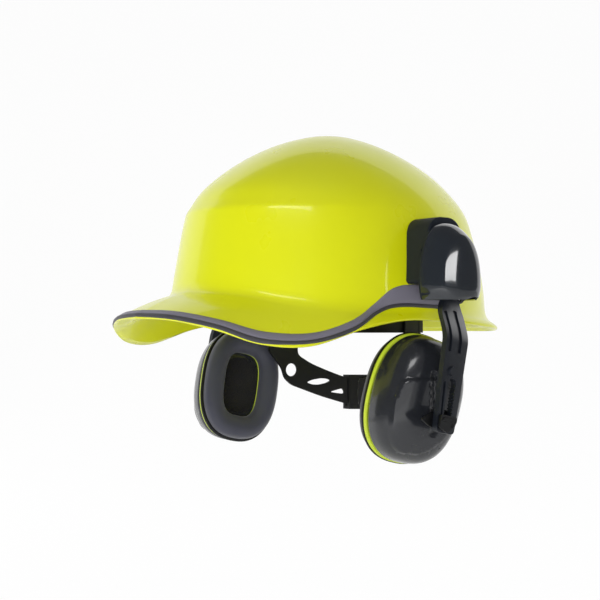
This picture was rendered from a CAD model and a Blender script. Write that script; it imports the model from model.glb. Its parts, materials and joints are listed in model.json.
import json
import logging
import math
from dataclasses import dataclass
from enum import Enum
from typing import Iterable, Optional, Protocol, Sequence

import bmesh
import bpy
from mathutils import Matrix, Vector
from mathutils.bvhtree import BVHTree
from mathutils.geometry import delaunay_2d_cdt

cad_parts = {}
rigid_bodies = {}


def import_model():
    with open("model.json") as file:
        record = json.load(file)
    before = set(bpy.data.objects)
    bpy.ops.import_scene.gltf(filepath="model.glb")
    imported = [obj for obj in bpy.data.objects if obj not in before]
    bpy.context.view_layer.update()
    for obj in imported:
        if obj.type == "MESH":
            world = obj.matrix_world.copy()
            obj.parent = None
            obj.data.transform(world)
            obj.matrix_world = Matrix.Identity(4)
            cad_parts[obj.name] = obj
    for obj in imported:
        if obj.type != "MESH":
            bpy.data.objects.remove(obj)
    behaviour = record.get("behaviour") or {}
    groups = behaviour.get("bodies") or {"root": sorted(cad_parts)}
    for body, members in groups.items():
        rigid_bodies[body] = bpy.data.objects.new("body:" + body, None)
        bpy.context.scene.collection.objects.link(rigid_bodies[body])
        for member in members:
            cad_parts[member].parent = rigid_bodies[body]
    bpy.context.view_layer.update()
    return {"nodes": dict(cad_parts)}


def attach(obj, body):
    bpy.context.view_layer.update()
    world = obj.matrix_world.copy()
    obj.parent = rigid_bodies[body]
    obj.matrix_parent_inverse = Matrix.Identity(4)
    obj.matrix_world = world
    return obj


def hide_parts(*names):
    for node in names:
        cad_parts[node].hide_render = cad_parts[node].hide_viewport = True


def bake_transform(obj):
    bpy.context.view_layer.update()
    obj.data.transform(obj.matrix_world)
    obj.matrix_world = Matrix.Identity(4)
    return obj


log = logging.getLogger("scene")

MM = 0.001
UP = Vector((0, 0, 1))
Point = tuple[float, float, float]
Flat = tuple[float, float]
Ring = list[Vector]


# Width of the broad patches in a moulded colour, and how far roughness drifts with them.
PATCH_MM = 38
WEAR = 0.12
# Turns the reach of one thread into the scale of the wave that draws it.
RIB = 1 / math.pi


class Side(Enum):
    """The wearer's side that a piece belongs to; its value is the sign of x."""

    LEFT = 1
    RIGHT = -1

    @property
    def suffix(self) -> str:
        """Ending of the CAD names on this side, such as "left"."""
        return self.name.lower()


class Grain(Enum):
    """Kind of fine pattern that a surface has."""

    MOULDED = "moulded"
    HIDE = "hide"
    CELLS = "cells"
    WEAVE = "weave"


# ------------------------------------------------------------------ finishes
@dataclass(frozen=True)
class Finish:
    """How one real material looks.

    Attributes:
        name: Material name.
        colour: sRGB hex of the clean surface.
        shade: sRGB hex that the broad, faint mottling drifts to.
        roughness: Mid roughness of the surface.
        ior: Index of refraction; None keeps the default.
        coat: Share of a clear, hard gloss on top.
        coat_roughness: Roughness of that gloss.
        metallic: 1 for bare metal.
        grain: Kind of fine pattern.
        grain_mm: Size of that pattern.
        grain_depth_mm: Height of that pattern.
        drift: Share of the mottling.
        glow: Light given back by fluorescent dye, as a share of the colour.
        sheen: Soft edge light of fibres.
    """

    name: str
    colour: str
    shade: str
    roughness: float
    ior: Optional[float] = 1.5
    coat: float = 0.0
    coat_roughness: float = 0.05
    metallic: float = 0.0
    grain: Grain = Grain.MOULDED
    grain_mm: float = 0.6
    grain_depth_mm: float = 0.004
    drift: float = 0.5
    glow: float = 0.0
    sheen: float = 0.0


# Injection-moulded ABS with fluorescent dye: a hard, even gloss whose colour looks lit from within.
SHELL = Finish(
    "hi_vis_shell", "#E3E60C", "#D8E214", 0.3, 1.5, 0.5, 0.03, grain_mm=0.9, grain_depth_mm=0.001, glow=0.1
)
# Soft thermoplastic rubber: matt, slightly violet grey, with fine grain.
TRIM = Finish("grey_rubber", "#85828F", "#7A7784", 0.5, 1.5, grain_mm=0.4, grain_depth_mm=0.010)
TRIM_DARK = Finish("dark_rubber", "#4A494E", "#3F3E43", 0.5, 1.5, grain_mm=0.4, grain_depth_mm=0.010)
# Polished ABS cover, tinted graphite.
GLOSS = Finish(
    "graphite_gloss", "#1D232B", "#181E25", 0.16, 1.5, 1.0, 0.03, grain_mm=0.8, grain_depth_mm=0.001
)
# Lightly textured ABS of the bracket and arm.
GRAPHITE = Finish("graphite_plastic", "#1C2027", "#171A20", 0.34, grain_mm=0.5, grain_depth_mm=0.006)
# The bracket and plate beside the shell: finely eroded mould, so nearly matt.
SATIN = Finish("graphite_satin", "#1D222B", "#191D25", 0.62, 1.46, grain_mm=0.4, grain_depth_mm=0.01)
# Cup shell: satin graphite that takes a soft window reflection.
CUP = Finish("cup_plastic", "#24262B", "#202226", 0.26, 1.52, 0.5, 0.08, grain_mm=0.5, grain_depth_mm=0.004)
# Plain black polypropylene of the harness and the sliders, with a fine mould grain.
BLACK = Finish("black_plastic", "#0C0D0F", "#090A0B", 0.46, grain_mm=0.5, grain_depth_mm=0.006, drift=0.6)
# Hi-vis TPE ring.
RING = Finish(
    "hi_vis_ring", "#C8DA3C", "#BCD036", 0.4, 1.5, 0.1, 0.2, grain_mm=0.5, grain_depth_mm=0.004, glow=0.05
)
# PVC skin over soft foam: matt, faintly wrinkled, plum grey.
CUSHION = Finish(
    "cushion_skin", "#414250", "#383946", 0.5, 1.48,
    grain=Grain.HIDE, grain_mm=1.1, grain_depth_mm=0.03, sheen=0.2,
)
# Open-cell foam: near black, with visible cells.
FOAM = Finish(
    "foam", "#1D1C20", "#0E0D10", 0.95, 1.45, grain=Grain.CELLS, grain_mm=1.6, grain_depth_mm=0.5, sheen=0.2
)
# Polyester webbing: a ribbed black weave.
WEBBING = Finish(
    "webbing", "#1F2221", "#151716", 0.85, 1.46,
    grain=Grain.WEAVE, grain_mm=1.3, grain_depth_mm=0.15, sheen=0.3,
)
# Brushed cloth over the thin foam of the sweat pads.
CLOTH = Finish(
    "pad_cloth", "#212125", "#17171A", 0.9, 1.45,
    grain=Grain.WEAVE, grain_mm=0.6, grain_depth_mm=0.08, sheen=0.4,
)
# Ground spring steel.
STEEL = Finish("steel", "#B9BABD", "#9A9B9F", 0.28, None, metallic=1.0, grain_mm=0.3, grain_depth_mm=0.002)


def linear(colour: str) -> tuple[float, float, float, float]:
    """Turns an sRGB hex colour into linear RGBA.

    Args:
        colour: A colour such as "#E4E60F".

    Returns:
        Linear red, green, blue and an alpha of 1.
    """
    out = []
    for i in (1, 3, 5):
        c = int(colour[i : i + 2], 16) / 255
        out.append(c / 12.92 if c <= 0.04045 else ((c + 0.055) / 1.055) ** 2.4)
    return out[0], out[1], out[2], 1.0


def add_node(tree: bpy.types.NodeTree, kind: str, settings: dict, links: dict) -> bpy.types.Node:
    """Adds a shader node with its settings and its incoming links.

    Args:
        tree: The node tree.
        kind: Node type, such as "ShaderNodeTexNoise".
        settings: Attribute or input names, or input numbers, and their values.
        links: Input names or numbers and the output sockets that feed them.

    Returns:
        The new node.
    """
    node = tree.nodes.new(kind)
    for key, value in settings.items():
        if isinstance(key, int) or key in node.inputs:
            node.inputs[key].default_value = value
        else:
            setattr(node, key, value)
    for key, socket in links.items():
        tree.links.new(socket, node.inputs[key])
    return node


def grain_height(
    tree: bpy.types.NodeTree, finish: Finish, place: bpy.types.NodeSocket
) -> bpy.types.NodeSocket:
    """Adds the fine pattern of a finish.

    Args:
        tree: The node tree.
        finish: The finish.
        place: Object coordinates, in metres.

    Returns:
        The pattern's height, 0 to 1.
    """
    scale = 1 / (finish.grain_mm * MM)
    if finish.grain is Grain.CELLS:
        # Open cells read as dark pits between bright walls.
        settings = {"Scale": scale, "Randomness": 1.0}
        cells = add_node(tree, "ShaderNodeTexVoronoi", settings, {"Vector": place})
        return cells.outputs["Distance"]
    if finish.grain is Grain.WEAVE:
        # Two crossed ribs, so that threads show along and across.
        ribs = [
            add_node(
                tree,
                "ShaderNodeTexWave",
                {"wave_type": "BANDS", "bands_direction": way, "Scale": scale * RIB, "Distortion": 0.6},
                {"Vector": place},
            ).outputs["Fac"]
            for way in ("X", "Y")
        ]
        threads = {0: ribs[0], 1: ribs[1]}
        return add_node(tree, "ShaderNodeMath", {"operation": "MAXIMUM"}, threads).outputs[0]
    if finish.grain is Grain.HIDE:
        # Embossed skin: small rounded islands with creases between them.
        hide = add_node(
            tree, "ShaderNodeTexVoronoi", {"Scale": scale, "feature": "SMOOTH_F1"}, {"Vector": place}
        )
        return hide.outputs["Distance"]
    pits = {"Scale": scale, "Detail": 2.0, "Roughness": 0.6}
    return add_node(tree, "ShaderNodeTexNoise", pits, {"Vector": place}).outputs["Fac"]


def build_material(finish: Finish) -> bpy.types.Material:
    """Builds the procedural material of a finish.

    Args:
        finish: The finish.

    Returns:
        A material whose patterns are measured in real millimetres.
    """
    material = bpy.data.materials.new(finish.name)
    material.use_nodes = True
    tree = material.node_tree
    tree.nodes.clear()
    place = add_node(tree, "ShaderNodeTexCoord", {}, {}).outputs["Object"]
    # Moulded pieces are never one flat colour: resin flow leaves patches a few centimetres wide.
    patches = {"Scale": 1 / (PATCH_MM * MM), "Detail": 3.0, "Roughness": 0.5}
    broad = add_node(tree, "ShaderNodeTexNoise", patches, {"Vector": place}).outputs["Fac"]
    amount = add_node(tree, "ShaderNodeMath", {"operation": "MULTIPLY", 1: finish.drift}, {0: broad})
    colour = add_node(
        tree,
        "ShaderNodeMix",
        {"data_type": "RGBA", 6: linear(finish.colour), 7: linear(finish.shade)},
        {0: amount.outputs[0]},
    ).outputs[2]
    rough = add_node(
        tree,
        "ShaderNodeMapRange",
        {
            "From Min": 0.3,
            "From Max": 0.7,
            "To Min": finish.roughness * (1 - WEAR),
            "To Max": min(finish.roughness * (1 + WEAR), 1),
        },
        {"Value": broad},
    )
    bump = add_node(
        tree,
        "ShaderNodeBump",
        {"Strength": 1.0, "Distance": finish.grain_depth_mm * MM},
        {"Height": grain_height(tree, finish, place)},
    )
    shader = add_node(
        tree,
        "ShaderNodeBsdfPrincipled",
        {
            "Metallic": finish.metallic,
            "Coat Weight": finish.coat,
            "Coat Roughness": finish.coat_roughness,
            "Sheen Weight": finish.sheen,
            "Sheen Roughness": 0.5,
            "Emission Strength": finish.glow,
        },
        {
            "Base Color": colour,
            "Emission Color": colour,
            "Roughness": rough.outputs[0],
            "Normal": bump.outputs["Normal"],
        },
    )
    if finish.ior is not None:
        shader.inputs["IOR"].default_value = finish.ior
    add_node(tree, "ShaderNodeOutputMaterial", {}, {"Surface": shader.outputs["BSDF"]})
    return material


class Paintbox:
    """Makes each finish's material once."""

    def __init__(self) -> None:
        """Starts with no materials."""
        self._made: dict[str, bpy.types.Material] = {}

    def get(self, finish: Finish) -> bpy.types.Material:
        """Gives the material of a finish.

        Args:
            finish: The finish.

        Returns:
            Its material, made on first use.
        """
        if finish.name not in self._made:
            self._made[finish.name] = build_material(finish)
        return self._made[finish.name]

    def paint(self, obj: bpy.types.Object, *finishes: Finish) -> None:
        """Gives an object these finishes, in slot order.

        Args:
            obj: A mesh object.
            finishes: One or more finishes.
        """
        slots = [p.material_index for p in obj.data.polygons] if len(finishes) > 1 else []
        obj.data.materials.clear()
        for finish in finishes:
            obj.data.materials.append(self.get(finish))
        for polygon, slot in zip(obj.data.polygons, slots):
            polygon.material_index = slot


# ------------------------------------------------------------------ mesh helpers
def smoothstep(t: float) -> float:
    """Eases from 0 to 1.

    Args:
        t: A value that is clamped to 0 to 1.

    Returns:
        The eased value.
    """
    t = min(max(t, 0.0), 1.0)
    return t * t * (3 - 2 * t)


def ramp(table: Sequence[Flat], x: float) -> float:
    """Reads a smooth curve through sorted (x, y) points.

    Args:
        table: Points in rising x.
        x: Where to read.

    Returns:
        The curve's value, held beyond its ends.
    """
    if x <= table[0][0]:
        return table[0][1]
    if x >= table[-1][0]:
        return table[-1][1]
    i = max(k for k in range(len(table) - 1) if table[k][0] <= x)
    (x0, y0), (x1, y1) = table[i], table[i + 1]
    slope = (y1 - y0) / (x1 - x0)
    before = (y0 - table[i - 1][1]) / (x0 - table[i - 1][0]) if i else slope
    after = (table[i + 2][1] - y1) / (table[i + 2][0] - x1) if i + 2 < len(table) else slope
    m0 = 0.0 if before * slope <= 0 else 2 * before * slope / (before + slope)
    m1 = 0.0 if after * slope <= 0 else 2 * after * slope / (after + slope)
    h = x1 - x0
    t = (x - x0) / h
    return (
        (2 * t**3 - 3 * t**2 + 1) * y0
        + (t**3 - 2 * t**2 + t) * h * m0
        + (3 * t**2 - 2 * t**3) * y1
        + (t**3 - t**2) * h * m1
    )


def row_at(rows: Sequence[Sequence[float]], s: float) -> list[float]:
    """Reads a table's row at a fractional index, on a smooth curve.

    Args:
        rows: The table.
        s: Index from 0 to the last row.

    Returns:
        The row's values there.
    """
    i = min(int(s), len(rows) - 2)
    t = s - i
    p0, p1, p2 = rows[max(i - 1, 0)], rows[i], rows[i + 1]
    p3 = rows[min(i + 2, len(rows) - 1)]
    return [
        0.5 * (2 * b + (c - a) * t + (2 * a - 5 * b + 4 * c - d) * t * t + (3 * b - a - 3 * c + d) * t**3)
        for a, b, c, d in zip(p0, p1, p2, p3)
    ]


def make_object(name: str, verts: Iterable[Vector], faces: Iterable[Sequence[int]]) -> bpy.types.Object:
    """Makes a smooth mesh object from vertices in millimetres.

    Args:
        name: Object name.
        verts: Vertices in millimetres.
        faces: Vertex indices of each face.

    Returns:
        The new object.
    """
    mesh = bpy.data.meshes.new(name)
    mesh.from_pydata([Vector(v) * MM for v in verts], [], [tuple(f) for f in faces])
    mesh.validate()
    work = bmesh.new()
    work.from_mesh(mesh)
    bmesh.ops.remove_doubles(work, verts=work.verts, dist=1e-6)
    bmesh.ops.recalc_face_normals(work, faces=work.faces)
    for face in work.faces:
        face.smooth = True
    work.to_mesh(mesh)
    work.free()
    obj = bpy.data.objects.new(name, mesh)
    bpy.context.scene.collection.objects.link(obj)
    log.info("%s: %d faces", name, len(mesh.polygons))
    return obj


def loft(name: str, rings: Sequence[Ring], loop: bool = False) -> bpy.types.Object:
    """Skins closed rings that have the same number of points.

    Args:
        name: Object name.
        rings: The rings, in order.
        loop: Whether the last ring joins the first one again; if not, both ends are filled.

    Returns:
        The skinned object.
    """
    count = len(rings[0])
    verts = [v for ring in rings for v in ring]
    faces: list[tuple[int, ...]] = []
    last = len(rings) if loop else len(rings) - 1
    for r in range(last):
        a, b = r * count, ((r + 1) % len(rings)) * count
        faces += [(a + i, a + (i + 1) % count, b + (i + 1) % count, b + i) for i in range(count)]
    if not loop:
        faces.append(tuple(range(count - 1, -1, -1)))
        faces.append(tuple((len(rings) - 1) * count + i for i in range(count)))
    return make_object(name, verts, faces)


def dense(loop: Sequence[Flat], step: float) -> list[Flat]:
    """Adds points along a closed outline.

    Args:
        loop: Corners of the outline.
        step: Longest distance between neighbours.

    Returns:
        The outline with its corners kept.
    """
    out: list[Flat] = []
    for (y0, z0), (y1, z1) in zip(loop, [*loop[1:], loop[0]]):
        parts = max(1, math.ceil(math.hypot(y1 - y0, z1 - z0) / step))
        out += [(y0 + (y1 - y0) * k / parts, z0 + (z1 - z0) * k / parts) for k in range(parts)]
    return out


def rounded(loop: Sequence[Flat], radius: float, parts: int = 4) -> list[Flat]:
    """Rounds the corners of a closed outline.

    Args:
        loop: Corners of the outline.
        radius: Distance from each corner at which its curve starts, where the sides are long enough.
        parts: Pieces in each corner's curve.

    Returns:
        The rounded outline.
    """
    out: list[Flat] = []
    for before, corner, after in zip([loop[-1], *loop[:-1]], loop, [*loop[1:], loop[0]]):
        c = Vector(corner)
        starts = []
        for other in (before, after):
            side = Vector(other) - c
            starts.append(c + side.normalized() * min(radius, side.length * 0.45))
        a, b = starts
        for k in range(parts + 1):
            t = k / parts
            p = a.lerp(c, t).lerp(c.lerp(b, t), t)
            out.append((p.x, p.y))
    return out


def circle(centre: Flat, radius: float, count: int = 24) -> list[Flat]:
    """A round outline.

    Args:
        centre: Its middle.
        radius: Its radius.
        count: Number of points.

    Returns:
        The outline.
    """
    turns = [2 * math.pi * k / count for k in range(count)]
    return [(centre[0] + radius * math.cos(a), centre[1] + radius * math.sin(a)) for a in turns]


def inside(loop: Sequence[Flat], y: float, z: float) -> bool:
    """Tells whether a point is inside a closed outline.

    Args:
        loop: The outline.
        y: Across.
        z: Up.

    Returns:
        True if it is inside.
    """
    hit = False
    for (y0, z0), (y1, z1) in zip(loop, [*loop[1:], loop[0]]):
        if (z0 > z) != (z1 > z) and y < (y1 - y0) * (z - z0) / (z1 - z0) + y0:
            hit = not hit
    return hit


def shrunk(loop: Sequence[Flat], step: float) -> list[Flat]:
    """Moves a closed outline inward.

    Args:
        loop: The outline.
        step: Distance inward; negative is outward.

    Returns:
        The moved outline, with the same number of points.
    """
    area = sum(a[0] * b[1] - b[0] * a[1] for a, b in zip(loop, [*loop[1:], loop[0]]))
    sign = 1 if area > 0 else -1
    out: list[Flat] = []
    for before, point, after in zip([loop[-1], *loop[:-1]], loop, [*loop[1:], loop[0]]):
        along = Vector((after[0] - before[0], after[1] - before[1])).normalized()
        out.append((point[0] - along.y * step * sign, point[1] + along.x * step * sign))
    return out


# Longest side of the triangles along a plate's outline, and along its holes and reliefs, in millimetres.
EDGE_STEP = 1.5
HOLE_STEP = 1.2


class Faces(Protocol):
    """Where the two faces of a plate are, at a place across (y) and up (z) it, over a relief's height."""

    def outer(self, y: float, z: float, height: float) -> Vector:
        """A point on the outer face."""

    def inner(self, y: float, z: float) -> Vector:
        """A point on the inner face."""


@dataclass(frozen=True)
class Relief:
    """A raised or sunk part of a plate's outer face.

    Attributes:
        loop: Its outline.
        height: How far it stands up; negative is sunk.
        slope: Width of its sloping edge.
    """

    loop: tuple[Flat, ...]
    height: float
    slope: float = 0.35

    def edges(self) -> list[list[Flat]]:
        """The lines that the mesh follows: the foot and the top of the sloping edge."""
        loop = dense(self.loop, HOLE_STEP)
        return [loop, shrunk(loop, self.slope)] if self.slope else [list(self.loop)]

    def at(self, y: float, z: float) -> float:
        """Height of the relief at a point, 0 outside its outline."""
        return self.height if self.slope and inside(shrunk(self.loop, self.slope * 0.9), y, z) else 0.0


def plate(
    name: str,
    outline: Sequence[Flat],
    holes: Sequence[Sequence[Flat]],
    reliefs: Sequence[Relief],
    spacing: float,
    faces_at: Faces,
) -> bpy.types.Object:
    """Makes a closed plate with holes and reliefs from its outline.

    Args:
        name: Object name.
        outline: Its outline, as (across, up) pairs.
        holes: Outlines of its holes.
        reliefs: Raised and sunk parts of its outer face.
        spacing: Size of its inner triangles.
        faces_at: Where its outer and inner face are.

    Returns:
        The plate.
    """
    loops = [dense(outline, EDGE_STEP), *[dense(h, HOLE_STEP) for h in holes]]
    loops += [edge for relief in reliefs for edge in relief.edges()]
    points = [Vector(p) for loop in loops for p in loop]
    edges: list[tuple[int, int]] = []
    start = 0
    for loop in loops:
        edges += [(start + k, start + (k + 1) % len(loop)) for k in range(len(loop))]
        start += len(loop)
    fixed = list(points)
    rise = spacing * 0.866
    low = [min(p[i] for p in outline) for i in (0, 1)]
    high = [max(p[i] for p in outline) for i in (0, 1)]
    for j in range(int((high[1] - low[1]) / rise) + 1):
        z = low[1] + j * rise
        # Odd rows are shifted by half a step, so that the inner triangles are even-sided.
        for i in range(int((high[0] - low[0]) / spacing) + 2):
            y = low[0] + (i + 0.5 * (j % 2)) * spacing
            kept = inside(outline, y, z) and not any(inside(h, y, z) for h in holes)
            if kept and all((p - Vector((y, z))).length > 0.5 * spacing for p in fixed):
                points.append(Vector((y, z)))
    flat, _, triangles, _, _, _ = delaunay_2d_cdt(points, edges, [], 0, 1e-5)
    kept_triangles = []
    for tri in triangles:
        y, z = (sum(flat[v][i] for v in tri) / 3 for i in (0, 1))
        if inside(outline, y, z) and not any(inside(h, y, z) for h in holes):
            kept_triangles.append(tuple(tri))
    count = len(flat)
    verts = [faces_at.outer(v.x, v.y, sum(r.at(v.x, v.y) for r in reliefs)) for v in flat]
    verts += [faces_at.inner(v.x, v.y) for v in flat]
    faces: list[tuple[int, ...]] = list(kept_triangles)
    faces += [tuple(count + v for v in reversed(tri)) for tri in kept_triangles]
    seen: dict[tuple[int, int], int] = {}
    for tri in kept_triangles:
        for a, b in zip(tri, (*tri[1:], tri[0])):
            seen[(a, b)] = seen.get((a, b), 0) + 1
    faces += [(b, a, count + a, count + b) for a, b in seen if (b, a) not in seen]
    return make_object(name, verts, faces)


class PlateFaces:
    """Where the two faces of a flat plate are: this distance out, in a frame."""

    def __init__(self, place: Matrix, out: float, thickness: float) -> None:
        """Keeps the plate's place.

        Args:
            place: Frame whose x axis points out of the plate.
            out: Distance of the outer face along that axis.
            thickness: Thickness of the plate.
        """
        self.place = place
        self.out = out
        self.thickness = thickness

    def outer(self, y: float, z: float, height: float) -> Vector:
        """A point on the outer face."""
        return self.place @ Vector((self.out + height, y, z))

    def inner(self, y: float, z: float) -> Vector:
        """A point on the inner face."""
        return self.place @ Vector((self.out - self.thickness, y, z))


def turned(name: str, place: Matrix, profile: Sequence[Flat], count: int = 40) -> bpy.types.Object:
    """Turns a profile about the x axis of a frame.

    Args:
        name: Object name.
        place: The frame.
        profile: (distance along x, radius) pairs.
        count: Points round it.

    Returns:
        The turned piece.
    """
    rings = []
    for x, r in profile:
        turns = [2 * math.pi * k / count for k in range(count)]
        rings.append([place @ Vector((x, r * math.cos(a), r * math.sin(a))) for a in turns])
    return loft(name, rings)


def mirrored(obj: bpy.types.Object, side: Side) -> bpy.types.Object:
    """Reflects an object's mesh to the wearer's right when asked.

    Args:
        obj: An object built on the wearer's left.
        side: The side that it is for.

    Returns:
        The same object.
    """
    if side is Side.RIGHT:
        obj.data.transform(Matrix.Scale(-1, 4, Vector((1, 0, 0))))
        obj.data.flip_normals()
    return obj


def subdivide(obj: bpy.types.Object) -> None:
    """Adds a subdivision surface that divides each face once.

    Args:
        obj: The object.
    """
    modifier = obj.modifiers.new("subdivision", "SUBSURF")
    modifier.levels = modifier.render_levels = 1


def bevel(obj: bpy.types.Object, width_mm: float, segments: int = 2, angle: float = 35.0) -> None:
    """Rounds an object's sharp edges.

    Args:
        obj: The object.
        width_mm: Width of the rounding.
        segments: Faces across it.
        angle: Edges sharper than this many degrees are rounded.
    """
    modifier = obj.modifiers.new("bevel", "BEVEL")
    modifier.width = width_mm * MM
    modifier.segments = segments
    modifier.limit_method = "ANGLE"
    modifier.angle_limit = math.radians(angle)
    modifier.harden_normals = True


def superellipse(half_wide: float, half_high: float, power: float, count: int) -> list[Flat]:
    """Points of a superellipse, evenly turned.

    Args:
        half_wide: Half width.
        half_high: Half height.
        power: 2 is an ellipse; more is squarer.
        count: Number of points.

    Returns:
        (across, up) pairs.
    """
    out = []
    for i in range(count):
        turn = 2 * math.pi * i / count
        c, s = math.cos(turn), math.sin(turn)
        reach = (abs(c / half_wide) ** power + abs(s / half_high) ** power) ** (-1 / power)
        out.append((reach * c, reach * s))
    return out


# ------------------------------------------------------------------ helmet shell
@dataclass(frozen=True)
class ShellShape:
    """Sizes of the shell in millimetres.

    Attributes:
        half_length: Half length at the root of the peak.
        half_width: Half width there.
        wall: Wall thickness.
        power: Squareness of the plan view.
        front: (height, share of half length) up the front.
        side: (height, share of half width) up the sides.
        rear: (height, share of half length) up the back.
        brim: Rows of (edge x, y, z, root z) from the peak's middle to the back.
        levels: Heights of the mesh's rings down the outer wall, closest at the crown and the shoulder.
        inner_levels: Heights of its rings up the inner wall.
        inner_top: Height of the crown inside.
        edge: Rows of (distance out, fall) round the brim's edge.
        sheet: Thickness of the brim.
        crown: Rise of the peak between its root and its edge, as a share of its reach.
        hollow: Greatest height and width of the hollow curve between the wall and the brim.
        columns: Divisions of half of the brim.
    """

    half_length: float = 137.0
    half_width: float = 108.6
    wall: float = 3.0
    power: float = 2.12
    front: tuple = (
        (-40, 1.03), (-12, 1.012), (0, 1.0), (20, 0.974), (40, 0.948), (54, 0.9285), (58, 0.9215),
        (60.5, 0.911), (64, 0.893), (73.6, 0.848), (81.9, 0.79), (95.3, 0.663), (107.8, 0.508),
        (117, 0.355), (122.2, 0.23),
        (125.3, 0.125), (126.5, 0.0),
    )
    side: tuple = (
        (-40, 1.03), (-20, 1.012), (0, 1.0), (20, 0.982), (40, 0.952), (52, 0.926), (58, 0.908), (63, 0.887),
        (69, 0.855), (76.3, 0.805), (84.5, 0.74), (94, 0.652), (104, 0.54), (112.5, 0.42), (118.5, 0.31),
        (122.8, 0.205), (125.6, 0.11), (126.5, 0.0),
    )
    rear: tuple = (
        (-40, 1.04), (-26, 1.022), (-10, 1.0125), (0, 1.004), (20, 0.972), (40, 0.928), (50.7, 0.905),
        (59.3, 0.88), (67.8, 0.842), (76.3, 0.79), (84.5, 0.735), (92.8, 0.665), (100.7, 0.575),
        (108.7, 0.462), (116.5, 0.33), (122, 0.22), (125.5, 0.11), (126.5, 0.0),
    )
    brim: tuple = (
        (0, -186, -24, -4), (38, -180, -25.5, -6), (72, -164, -32.5, -8.5), (94, -140, -42.5, -12),
        (108, -107, -44, -15), (114, -63, -32, -18), (112.8, -22, -25.5, -20), (112.3, 12, -25.5, -20),
        (108.8, 55, -28, -21), (93.5, 98, -31, -24), (55, 134, -33, -26), (0, 148, -33, -26),
    )
    levels: tuple = (
        126.45, 126.2, 125.7, 124.9, 123.6, 121.8, 119.4, 116.4, 113, 109, 104.5, 99.5, 94, 88.5, 83, 77.5,
        72.5, 68, 65, 63, 61.6, 60.6, 59.6, 58.4, 57, 55, 51, 45, 38, 31, 24, 17, 11, 6,
    )
    inner_levels: tuple = (6, 30, 50, 59, 70, 85, 100, 112, 120)
    inner_top: float = 122.5
    edge: tuple = ((0.0, 0.0), (0.55, 0.6), (0.55, 2.1), (0.0, 2.7))
    sheet: float = 2.8
    crown: float = 0.14
    hollow: Flat = (7.0, 5.0)
    columns: int = 110

    def reach(self, plan_angle: float, z: float) -> float:
        """Distance from the axis to the outer wall.

        Args:
            plan_angle: Angle round the axis, 0 at the wearer's left and -90 degrees at the front.
            z: Height.

        Returns:
            The horizontal distance.
        """
        c, s = math.cos(plan_angle), math.sin(plan_angle)
        long_table = self.front if s < 0 else self.rear
        a = max(self.half_width * ramp(self.side, z), 1e-4)
        b = max(self.half_length * ramp(long_table, z), 1e-4)
        return (abs(c / a) ** self.power + abs(s / b) ** self.power) ** (-1 / self.power)

    def outer(self, plan_angle: float, z: float, inset: float = 0.0) -> Vector:
        """A point on the outer wall, or this far inside it on the level."""
        r = max(self.reach(plan_angle, z) - inset, 0.0)
        return Vector((r * math.cos(plan_angle), r * math.sin(plan_angle), z))


# How far over the shell a ray starts that looks for its face, and how far the ray goes.
HUG_START = 14 * MM
HUG_REACH = 30 * MM


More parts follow.
